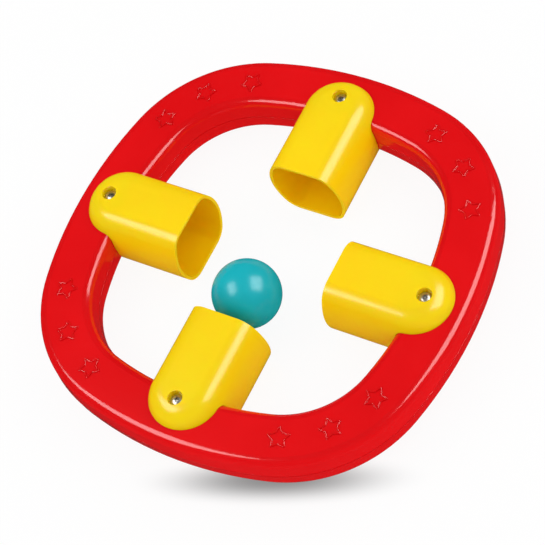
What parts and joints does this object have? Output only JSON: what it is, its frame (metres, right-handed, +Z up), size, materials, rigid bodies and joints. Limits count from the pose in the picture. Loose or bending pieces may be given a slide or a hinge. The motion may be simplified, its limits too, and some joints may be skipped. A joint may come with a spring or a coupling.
{
  "type": "ball catching ring toy",
  "caption": "Hand-held rounded-square ring with open scoop cups facing inwards from its sides and a loose ball to catch in them.",
  "frame": {"origin": "under the middle of the ring, in the plane of the four cups' lower faces, on which it lies", "axes": "+Z up through the lying ring, out of its starred front; +X towards the right-hand cup; +Y towards the top cup"},
  "size_m": [0.3194, 0.3194, 0.0565],
  "materials": {
    "ring": "gloss",
    "cup": "gloss",
    "ball": "satin",
    "screw": "satin"
  },
  "bodies": {
    "toy": {"ring_front": "ring", "ring_back": "ring", "cup_top": "cup", "cup_right": "cup", "cup_bottom": "cup", "cup_left": "cup", "front_screw_top": "screw", "front_screw_right": "screw", "front_screw_bottom": "screw", "front_screw_left": "screw", "back_screw_top": "screw", "back_screw_right": "screw", "back_screw_bottom": "screw", "back_screw_left": "screw", "shell_screw_1": "screw", "shell_screw_2": "screw", "shell_screw_3": "screw", "shell_screw_4": "screw"},
    "ball": {"ball": "ball"}
  },
  "joints": [
    {"name": "ball_roll", "type": "slide", "parent": "toy", "child": "ball", "axis": [0.0706, -0.9975, 0], "range_m": [-0.062, 0.0566]}
  ]
}
